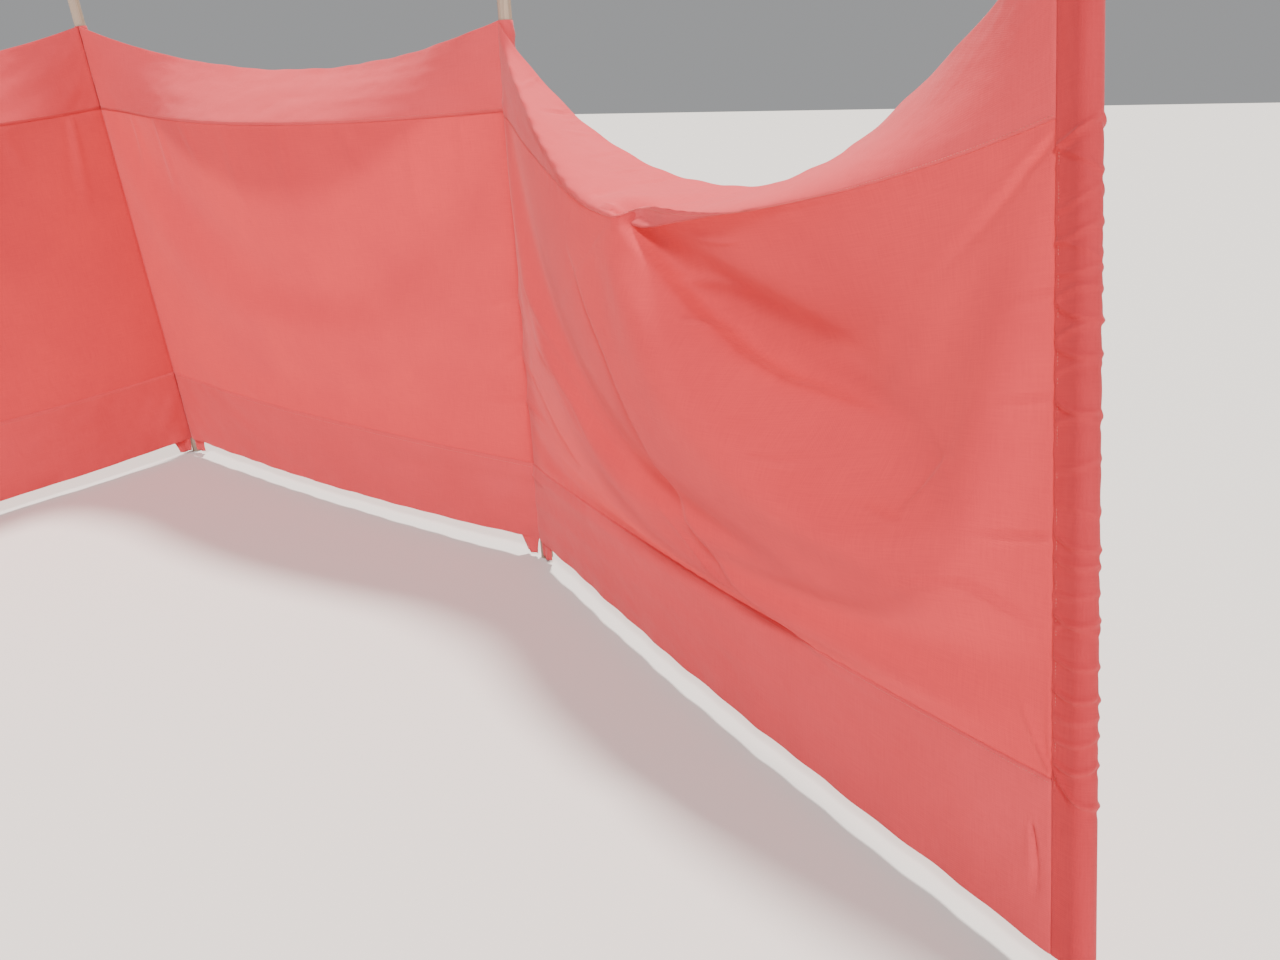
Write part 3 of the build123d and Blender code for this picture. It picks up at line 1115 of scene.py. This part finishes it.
@dataclass
class EndSleeve:
    """The end of the cloth, turned round an end pole and sewn to itself.

    Attributes:
        seam: The seam that closes the sleeve.
        inward: Unit vector towards the enclosed side.
        puckers: Its folds, on the enclosed side.
        rows: Steps up the sleeve.
        tip: Radius of the sleeve's edge at the seam.
        arc_steps: Steps of the loop round the pole.
        side_steps: Steps from the pole to the seam.
        tip_steps: Steps round the edge at the seam.
        pucker_width: Half width of a pucker.
    """

    seam: PoleSeam
    inward: np.ndarray
    puckers: tuple[Pucker, ...]
    rows: int = 700
    radius: float = CUT.sleeve_radius
    tip: float = 1.6 * MM
    arc_steps: int = 30
    side_steps: int = 9
    tip_steps: int = 4
    pucker_gain: float = 1.5
    pucker_width: float = 4.2 * MM
    deepest: float = -0.9 * MM  # how far a hollow may reach towards the pole
    stitch_inset: float = 3.0 * MM  # from the edge to the stitching
    stitch_lift: float = 1.3 * MM
    hollow: float = 0.45  # as in Crease
    beside: float = 1.9
    back_slip: float = 0.021  # how far a pucker's line strays on the back
    hem_fade: float = 0.02  # over which the slow waves die away at the hems

    def outline(self) -> tuple[np.ndarray, np.ndarray, np.ndarray]:
        """The loop of cloth round the pole, seen along the pole.

        Returns:
            Points as distance towards the seam and towards the enclosed side, unit normals, and
            how far round each is: 0 at the seam on the enclosed side, 1 at the outer fold, 2 at
            the seam on the back.
        """
        reach, arcs, tips = self.seam.reach, self.arc_steps + 1, self.tip_steps + 1
        turn = math.acos((self.radius - self.tip) / reach)
        angles = np.concatenate([
            np.linspace(turn, 2 * np.pi - turn, arcs),
            np.linspace(2 * np.pi - turn, 2 * np.pi + turn, tips),
        ])
        centres = np.concatenate([np.zeros(arcs), np.full(tips, reach)])
        radii = np.concatenate([np.full(arcs, self.radius), np.full(tips, self.tip)])
        normals = np.stack([np.cos(angles), np.sin(angles)], -1)
        points = np.stack([centres, np.zeros_like(centres)], -1) + radii[:, None] * normals
        arc, tip = points[:arcs], points[arcs:]
        share = np.linspace(0, 1, self.side_steps + 2)[1:-1, None]
        front = tip[-1] * (1 - share) + arc[0] * share
        back = arc[-1] * (1 - share) + tip[0] * share
        loop = np.concatenate([tip[-1:], front, arc, back, tip[:-1]])
        steps = len(front)
        loop_normals = np.concatenate([
            normals[-1:], np.repeat(normals[:1], steps, axis=0), normals[:arcs],
            np.repeat(normals[arcs - 1:arcs], steps, axis=0), normals[arcs:-1],
        ])
        run = run_along(loop)
        return loop, loop_normals, np.clip(2 * run / run[steps + arcs + steps], 0, 2)

    def relief(self, height: np.ndarray, around: np.ndarray) -> np.ndarray:
        """How far the puckers stand out at each point.

        Args:
            height: Heights of the rows up the flat cloth.
            around: How far round the loop each column is.

        Returns:
            Height out from the loop, in metres.
        """
        h = height[:, None]
        total = np.zeros((len(height), len(around)))
        for share, on_side, slip in ((around, around <= 1, 0.0), (2 - around, around > 1, self.back_slip)):
            share = np.clip(share, 0, 1)
            fade = ease((share + 0.03) / 0.10) * (1 - 0.5 * ease((share - 0.75) / 0.25)) * on_side
            for k, pucker in enumerate(self.puckers):
                sag = pucker.bow * 4 * share * (1 - share)
                line = pucker.seam + (pucker.fold - pucker.seam) * share - sag
                line = line * MM + slip * math.sin(5.0 * k) * (1 - share)
                off = (h - line[None]) / self.pucker_width
                shape = ridge(off, self.hollow, self.beside)
                total += self.pucker_gain * pucker.stand * MM * shape * fade
        waves = wave(h, 0.17, 2.0 * around[None]) * wave(h, 0.061, around[None])
        middle = ease((h - CUT.low_seam()) / self.hem_fade) * ease((CUT.high_seam() - h) / self.hem_fade)
        return np.maximum(total + 0.5 * MM * waves * middle, self.deepest)

    def build(self, finishes: Finishes) -> None:
        """Builds and dresses the sleeve and its stitching.

        Args:
            finishes: The shared materials.
        """
        pole, ahead = self.seam.pole, self.seam.ahead
        loop, loop_normals, around = self.outline()
        height = np.linspace(0, CUT.height, self.rows + 1)
        sideways = np.cross(pole.axis, ahead)
        if sideways @ self.inward < 0:
            sideways = -sideways
        centre = pole.at(CUT.gap + height)
        section = loop[None] + loop_normals[None] * self.relief(height, around)[..., None]
        points = centre[:, None] + section[..., :1] * ahead + section[..., 1:] * sideways
        run = run_along(np.concatenate([loop, loop[:1]]))
        name = f"pole_{pole.number}_sleeve"
        sleeve = grid_mesh(f"{name}_cloth", points, np.stack(np.meshgrid(run, height), -1), wrap=True)
        lines = []
        inset, lift = self.seam.reach - self.stitch_inset, self.tip + self.stitch_lift
        for side in (1, -1):
            line = centre + inset * ahead + side * lift * sideways
            lines.append((line, np.repeat(sideways[None] * side, len(line), axis=0)))
        stitching = Stitching().build(f"{name}_stitching", lines, finishes.thread)
        dress(sleeve, name, finishes.single)
        log.info("pole %d: end sleeve with %d puckers", pole.number, len(self.puckers))


@dataclass
class InnerSleeve:
    """The strip sewn on the back of the cloth, which wraps an inner pole as a snug tube."""

    seam: PoleSeam
    rows: int = 150
    columns: int = 30
    radius: float = CUT.sleeve_radius - 0.3 * MM
    wall: float = 0.9 * MM
    turn_in: float = 0.020  # how far the ends are turned inside
    rounding: float = 0.3 * MM  # how far the turned ends stand past the cloth
    ruck: float = 2.2 * MM  # how far the cloth stands out at a tuck
    ruck_height: float = 0.012

    def build(self, finishes: Finishes) -> None:
        """Builds and dresses the sleeve.

        Args:
            finishes: The shared materials.
        """
        pole, ahead = self.seam.pole, self.seam.ahead
        flat = np.linspace(0, CUT.height, self.rows + 1)
        angles = np.linspace(0, 2 * np.pi, self.columns + 1)[:-1]
        beak = bell(np.minimum(angles, 2 * np.pi - angles) / 0.33)
        radius = self.radius + (self.seam.reach - 1.0 * MM - self.radius) * beak
        ruck = np.zeros((len(flat), len(angles)))
        for k, tuck in enumerate(self.seam.tucks):
            line = tuck.height + self.ruck_height * np.sin(angles + 2.1 * k)
            shape = bell((flat[:, None] - line[None]) / self.ruck_height)
            ruck += self.ruck * shape * (1 - 0.7 * beak[None])
        slack = wave(flat[:, None], 0.083, 2 * angles[None]) * wave(flat[:, None], 0.21)
        outer = radius[None] + np.clip(ruck + 0.5 * MM * slack * (1 - beak[None]), -0.5 * MM, None)
        up_pole = self.seam.up_pole(flat)
        foot, head = up_pole[:1], up_pole[-1:]
        low, high = outer[:1], outer[-1:]
        height = np.concatenate([
            foot + self.turn_in, foot + 2 * self.rounding, foot - self.rounding, up_pole,
            head + self.rounding, head - 2 * self.rounding, head - self.turn_in,
        ])
        radius = np.concatenate([
            low - self.wall, low - self.wall, low - 0.4 * self.wall, outer,
            high - 0.4 * self.wall, high - self.wall, high - self.wall,
        ])
        sideways = np.cross(pole.axis, ahead)
        direction = np.cos(angles)[:, None] * ahead + np.sin(angles)[:, None] * sideways
        points = pole.at(height)[:, None] + radius[..., None] * direction[None]
        run = np.append(angles, 2 * np.pi) * self.radius
        name = f"pole_{pole.number}_sleeve"
        sleeve = grid_mesh(f"{name}_cloth", points, np.stack(np.meshgrid(run, height), -1), wrap=True)
        dress(sleeve, name, finishes.double)
        log.info("pole %d: inner sleeve", pole.number)


@dataclass
class SleeveTails:
    """The loose ends of an inner sleeve, one each side, which hang below the cloth."""

    seam: PoleSeam
    bays: tuple[ClothBay, ClothBay]
    lap: float = 0.020
    length: float = 0.042
    top_width: float = 0.058
    tip_width: float = 0.026
    start: float = 0.004
    behind: float = 0.0035
    steps: int = 12
    puff: float = 0.7 * MM
    flutter: float = 3.0 * MM
    curl: float = 4.0 * MM

    def tail(self, bay: ClothBay, side: int) -> np.ndarray:
        """Points of one tail's middle surface.

        Args:
            bay: The bay that it hangs behind.
            side: 1 where the bay runs on from the pole, -1 where it runs up to it.

        Returns:
            Grid of points: across the tail, then down it.
        """
        pole = self.seam.pole
        along = unit(bay.right.pole.foot - bay.left.pole.foot) * side
        corner = self.seam.points(np.array([0.0]))[0]
        steps = np.linspace(0, 1, self.steps + 1)
        across, down = np.meshgrid(steps, steps, indexing="ij")
        drop = -self.lap + (self.lap + self.length) * down
        share = np.clip(drop / self.length, 0, 1)
        inset = (self.top_width - self.tip_width) / 2 * share ** 0.8
        x = self.start + inset * 0.5 + (self.top_width - 1.5 * inset) * across
        flutter = self.flutter * share * np.sin(2 * np.pi * (1.3 * across + 0.2 * pole.number) + 1.5 * share)
        back = self.behind + flutter + self.curl * share ** 2 * (across - 0.4)
        drop = drop - 4.0 * MM * share * np.abs(across - 0.5)
        return corner + x[..., None] * along - drop[..., None] * pole.axis - back[..., None] * bay.inward

    def build(self, finishes: Finishes) -> None:
        """Builds and dresses both tails as one piece.

        Args:
            finishes: The shared materials.
        """
        number = self.seam.pole.number
        pieces = []
        for bay, side in zip(self.bays, (-1, 1)):
            middle = self.tail(bay, side)
            puff = surface_normals(middle, bay.inward) * self.puff
            loop = np.concatenate([middle + puff, (middle - puff)[:, ::-1]], axis=1)
            cut = np.stack(np.meshgrid(
                np.linspace(0, self.top_width, loop.shape[0]),
                np.linspace(0, 2 * (self.lap + self.length), loop.shape[1] + 1), indexing="ij"), -1)
            pieces.append(grid_mesh(f"tail_{number}_{side}", loop, cut, wrap=True, caps=True))
        tails = pieces[0]
        with bpy.context.temp_override(active_object=tails, selected_editable_objects=pieces):
            bpy.ops.object.join()
        name = f"pole_{number}_sleeve_tails"
        tails.name = tails.data.name = f"{name}_cloth"
        dress(tails, name, finishes.double)
        log.info("pole %d: sleeve tails", number)


@dataclass
class Studio:
    """The camera, the light and the floor.

    Attributes:
        eye: Where the camera stands.
        heading: Where it looks, in degrees from +X towards +Y.
        pitch: How far it looks down, in degrees.
        roll: How far it is turned clockwise, in degrees.
        sensor: Width of its sensor, in millimetres.
        lens: Focal length for that sensor.
    """

    eye: tuple[float, float, float] = (1.5433, -1.6697, 1.0153)
    heading: float = 127.04
    pitch: float = 20.08
    roll: float = 1.4
    sensor: float = 36
    lens: float = 36 * 1035 / 1280  # 1035 pixels in the photograph, which is 1280 wide
    floor_size: float = 160.0
    sky: str = "#F1F2F4"
    sky_strength: float = 0.4

    def camera(self) -> None:
        """Sets the camera as the photograph's."""
        heading, pitch, roll = (math.radians(a) for a in (self.heading, self.pitch, self.roll))
        forward = np.array((math.cos(heading) * math.cos(pitch), math.sin(heading) * math.cos(pitch),
                            -math.sin(pitch)))
        right = np.array((math.sin(heading), -math.cos(heading), 0.0))
        down = np.cross(forward, right)
        across = math.cos(roll) * right + math.sin(roll) * down
        upright = math.sin(roll) * right - math.cos(roll) * down
        data = bpy.data.cameras.new("camera")
        data.sensor_width, data.sensor_fit, data.lens = self.sensor, "HORIZONTAL", self.lens
        data.clip_start, data.clip_end = 0.05, 500
        camera = add_object("camera", data)
        turn = Matrix((across, upright, -forward)).transposed()
        camera.matrix_world = Matrix.Translation(self.eye) @ turn.to_4x4()
        bpy.context.scene.camera = camera

    def light(self, name: str, towards: tuple[float, float, float], spread: float, strength: float,
              colour: str) -> None:
        """Adds one wide, soft light that reaches the whole floor evenly.

        Args:
            name: Name of the light.
            towards: Direction from the part to the light.
            spread: Angle that the light fills, in degrees.
            strength: Its strength in watts on a square metre.
            colour: Its colour, as sRGB hex.
        """
        data = bpy.data.lights.new(name, "SUN")
        data.angle, data.energy, data.color = math.radians(spread), strength, linear(colour)[:3]
        add_object(name, data).rotation_euler = Vector(towards).to_track_quat("Z", "Y").to_euler()

    def build(self) -> None:
        """Builds the studio."""
        self.camera()
        self.light("key", (-0.2, 0.38, 1.1), spread=8, strength=6.6, colour="#FFF7F0")
        self.light("fill", (0.6, -0.8, 0.9), spread=12, strength=3.1, colour="#FFFBFA")
        world = bpy.data.worlds.new("studio")
        bpy.context.scene.world = world
        world.use_nodes = True
        background = world.node_tree.nodes["Background"]
        background.inputs["Color"].default_value = linear(self.sky)
        background.inputs["Strength"].default_value = self.sky_strength
        half = self.floor_size / 2
        corners = np.array([[[x, y, 0.0] for y in (-half, half)] for x in (-half, half)])
        floor = grid_mesh("studio_floor", corners, corners[..., :2])
        floor.data.materials.append(StudioFloor().material())


@dataclass
class Windbreak:
    """The whole windbreak: four bays of cloth on five poles.

    Attributes:
        seam_turn: How far the end sleeves' seams stand towards the enclosed side, as a share of
            their distance from the pole.
    """

    seam_turn: float = 0.26

    def __post_init__(self) -> None:
        """Reads the poles and sets out the seams."""
        self.poles = [PoleLine.from_node(number) for number in range(1, 6)]
        feet = [pole.foot for pole in self.poles]
        runs = [unit(b - a) for a, b in zip(feet, feet[1:])]
        self.inwards = [np.array([run[1], -run[0], 0.0]) for run in runs]
        tucks = {
            2: ((0.14, 0.014, 0.003), (1.10, 0.016, 0.003)),
            4: ((0.040, 0.010, 0.002), (0.110, 0.010, 0.002), (0.185, 0.009, 0.004), (0.365, 0.001, 0.007),
                (0.480, 0.001, 0.008), (0.605, 0.001, 0.007), (1.015, 0.011, 0.003), (1.070, 0.010, 0.002),
                (1.120, 0.010, 0.002), (1.165, 0.008, 0.002)),
        }
        ends = {
            0: runs[0] + self.seam_turn * self.inwards[0],
            len(runs): self.seam_turn * self.inwards[-1] - runs[-1],
        }
        self.seams = []
        for index, pole in enumerate(self.poles):
            if index in ends:
                ahead, reach, lap = ends[index], CUT.seam_reach, 0.0
            else:
                ahead = self.inwards[index - 1] + self.inwards[index]
                reach, lap = CUT.seam_ahead, CUT.inner_lap
            slipped = tuple(Tuck(*values) for values in tucks.get(pole.number, ()))
            self.seams.append(PoleSeam(pole, square_to(pole.axis, ahead), reach, lap, slipped))

    def bays(self) -> list[ClothBay]:
        """The four bays with their drapes.

        Returns:
            The bays, from pole 1 to pole 5.
        """
        plain, ended = CUT.bay - 0.002, CUT.bay - CUT.seam_reach
        back = ((0.0, 0.04), (0.3, 0.03), (0.7, 0.07), (1.0, 0.08))
        side = ((0.0, 0.03), (0.3, 0.03), (0.7, 0.07), (1.0, 0.10))
        last = ((0.0, 0.02), (0.218, -0.06), (0.5, 0.02), (0.7, 0.06), (0.85, 0.11), (1.0, 0.15))
        fold = ((0.0, 1.02), (0.19, 0.93), (0.43, 0.86), (0.52, 0.74), (0.60, 0.64), (0.68, 0.58),
                (1.0, 0.30))
        shelf = ((0.0, 0.97), (0.19, 0.91), (0.40, 0.83), (1.0, 0.82))
        drapes = (
            Drape(back, seam_drop=0.06, top_drop=0.150, top_lean=-0.04, bottom_drop=0.012),
            Drape(back, seam_drop=0.05, top_drop=0.120, top_lean=-0.03, bottom_drop=0.012),
            Drape(side, seam_drop=0.022, top_drop=0.100, top_lean=-0.05, bottom_drop=0.004, pull=0.08),
            Drape(last, seam_drop=0.140, top_drop=0.310, top_lean=-0.05, swag=0.13, fold=fold, sharp=21.6,
                  bending=3.0, shelf=shelf, bottom_hold=0.5),
        )
        creases = (
            self.hanging_waves((0.1, 0.19, 0.33, 0.5, 0.62, 0.77, 0.9), ended),
            self.hanging_waves((0.08, 0.21, 0.36, 0.47, 0.66, 0.79, 0.93), plain),
            self.middle_pole_creases(plain, -1)
            + self.hanging_waves((0.12, 0.22, 0.31, 0.44, 0.58, 0.71, 0.83, 0.92), plain),
            self.middle_pole_creases(ended, 1) + self.end_pole_creases(ended) + self.swag_folds(),
        )
        widths = (ended, plain, plain, ended)
        grids = ({}, {}, {}, {"columns": 80, "panel_rows": 52, "hem_rows": 14, "fine": 3})
        return [
            ClothBay(number, *ends, drape, width, folds, **grid)
            for number, (ends, drape, width, folds, grid) in enumerate(
                zip(zip(self.seams, self.seams[1:]), drapes, widths, creases, grids), 1)
        ]

    @staticmethod
    def middle_pole_creases(width: float, side: int) -> tuple[Crease, ...]:
        """Creases that the middle pole's tucks pull into a bay.

        Args:
            width: The bay's flat width.
            side: 1 where the bay runs on from the pole, -1 where it runs up to it.

        Returns:
            The creases.
        """
        pole = 0 if side > 0 else width / MM
        rows = ((185, 100, 10, 3.0), (365, 160, 20, 3.5), (480, 100, 60, 3.5), (605, 140, 40, 3.0),
                (1015, 90, 30, 1.8))  # height, reach, fall and stand
        return tuple(
            Crease((pole + side * 3, height), (pole + side * reach, height - fall), 6, stand, side * -4)
            for height, reach, fall, stand in rows
        )

    @staticmethod
    def hanging_waves(starts: tuple[float, ...], width: float) -> tuple[Crease, ...]:
        """Soft upright waves that hang from the top hem's seam.

        Args:
            starts: Where they start, as shares along the bay.
            width: The bay's flat width.

        Returns:
            The waves.
        """
        seam = CUT.high_seam() / MM
        made = []  # sines of each wave's number make the waves uneven, the same on every run
        for k, share in enumerate(starts):
            x, lean, length = share * width / MM, 50 * math.sin(4.1 * k), 220 + 80 * math.sin(2.3 * k)
            made.append(Crease((x, seam - 6), (x + lean, seam - length), 17 + 5 * math.sin(3.1 * k),
                               4.0 + math.cos(5.3 * k), 6 * math.sin(k)))
        return tuple(made)

    @staticmethod
    def end_pole_creases(width: float) -> tuple[Crease | Fold, ...]:
        """Creases that the end sleeve's seam pulls into the last bay, and tucks in its top hem.

        Args:
            width: The bay's flat width.

        Returns:
            The creases and folds.
        """
        end = width / MM
        rows = (
            (3, 968, 260, 800, 11, -5.0, 12), (3, 950, 70, 925, 5, 2.6, 3), (3, 788, 90, 775, 5, 2.2),
            (3, 667, 100, 652, 5, 2.6), (3, 505, 140, 482, 5, 4.0, 3), (210, 496, 300, 530, 5, 3.0, -3),
            (3, 222, 50, 320, 6, 4.5, 5), (3, 222, 5, 350, 5, 3.0), (30, 150, 28, 40, 5, -5.0, 6),
        )
        pulled = tuple(Crease((end - a, b), (end - c, d), *sizes) for a, b, c, d, *sizes in rows)
        paths = (
            (((160, 585), (190, 550), (210, 522), (213, 496)), -7, 4, 50),
            (((230, 400), (180, 425), (120, 430), (80, 418), (3, 385)), 7, 5, 40),
        )
        return pulled + tuple(Fold(tuple((end - x, y) for x, y in path), *sizes) for path, *sizes in paths)

    @staticmethod
    def swag_folds() -> tuple[Crease | Fold, ...]:
        """The crisp folds of the last bay: the slanting ones, and those of the top hem where it lies back.

        Returns:
            The folds.
        """
        slanting = (
            Fold(((655, 1030), (702, 990), (747, 931), (804, 862), (868, 792), (948, 733), (1030, 690),
                  (1130, 650), (1250, 610)), 60, 12, 125, front=0.18),
            Fold(((453, 891), (518, 825), (580, 750), (645, 680), (700, 600), (740, 510), (770, 430),
                  (805, 370), (852, 325), (900, 270), (990, 225), (1100, 200), (1210, 192), (1320, 200)),
                 -12, 7, 50, front=0.6),
            Fold(((100, 700), (206, 659), (287, 612), (358, 572), (427, 533), (503, 491), (597, 445),
                  (700, 390)), -9, 8, 50),
            Fold(((180, 560), (270, 545), (348, 523), (416, 489), (470, 445), (550, 385)), -7, 7, 40),
            Fold(((50, 470), (160, 420), (280, 360), (380, 300)), -9, 8, 50),
        )
        small = (
            (870, 255, 700, 405, 6, 5.0, 4), (1050, 580, 1150, 588, 5, 3.0, -6),
            (800, 872, 950, 808, 8, 6.0, 4), (850, 790, 960, 762, 6, 4.5, -4),
            (960, 930, 780, 955, 9, 4.0, 4), (650, 1010, 725, 1020, 5, 6.0, -2),
        )
        across_hem = (
            (150, 30, 85, 3.0), (262, 6, 75, -5.0), (292, 12, 60, 3.5), (350, -10, 90, 2.5),
            (430, 30, 100, -2.6),
            (515, 4, 120, 3.5), (600, -20, 110, -2.6), (690, 20, 90, 2.0),
        )
        edge = CUT.height / MM - 6
        return (
            slanting + tuple(Crease((a, b), (c, d), *sizes) for a, b, c, d, *sizes in small)
            + tuple(Crease((x, edge), (x + lean, edge - reach), 5, stand, 3)
                    for x, lean, reach, stand in across_hem)
        )

    @staticmethod
    def puckers(flip: bool) -> tuple[Pucker, ...]:
        """The folds of an end sleeve.

        Args:
            flip: Turns the list upside down for the end that the photograph doesn't show.

        Returns:
            The puckers.
        """
        rows = (
            (952, 979, 4, 2.4), (950, 915, -5, 1.6), (880, 905, 6, 1.1), (844, 866, 5, 1.4),
            (847, 820, -4, 1.3), (812, 817, 7, 1.2), (780, 790, -5, 1.3), (778, 755, 6, 1.5),
            (733, 749, -5, 1.5), (728, 714, 6, 1.8), (695, 706, -4, 1.2), (668, 652, 8, 2.0),
            (637, 640, -5, 1.5), (585, 600, 5, 1.0), (545, 532, -4, 1.1), (512, 495, 6, 1.7),
            (484, 479, 7, 1.6), (440, 447, 5, 1.1), (417, 412, 7, 1.9), (400, 398, -5, 1.7),
            (367, 362, 7, 1.6), (328, 326, 8, 2.1), (295, 302, 5, 1.1), (268, 280, 8, 1.7),
            (240, 246, 9, 2.1), (232, 196, 10, 2.4),
        )
        both = CUT.height / MM - 10  # heights of a pucker and of the one that it turns into
        if flip:
            rows = tuple((both - seam, both - fold, -bow, stand) for seam, fold, bow, stand in rows)
        return tuple(Pucker(*row) for row in rows)

    def build(self) -> None:
        """Builds every piece in order."""
        finishes = Finishes.make()
        for pole in self.poles:
            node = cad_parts[f"pole_{pole.number}"]
            node.data.materials.clear()
            node.data.materials.append(TurnedPine().material(pole))
            log.info("pole %d: lean %.1f degrees", pole.number, math.degrees(math.acos(pole.axis[2])))
        bays = self.bays()
        for bay in bays:
            bay.build(finishes)
        for end, flip in ((0, True), (-1, False)):
            EndSleeve(self.seams[end], self.inwards[end], self.puckers(flip)).build(finishes)
        for seam, beside in zip(self.seams[1:], zip(bays, bays[1:])):
            InnerSleeve(seam).build(finishes)
            SleeveTails(seam, beside).build(finishes)


def main() -> None:
    """Builds the studio and the windbreak."""
    Studio().build()
    Windbreak().build()
    bpy.context.view_layer.update()


if __name__ == "__main__":
    main()
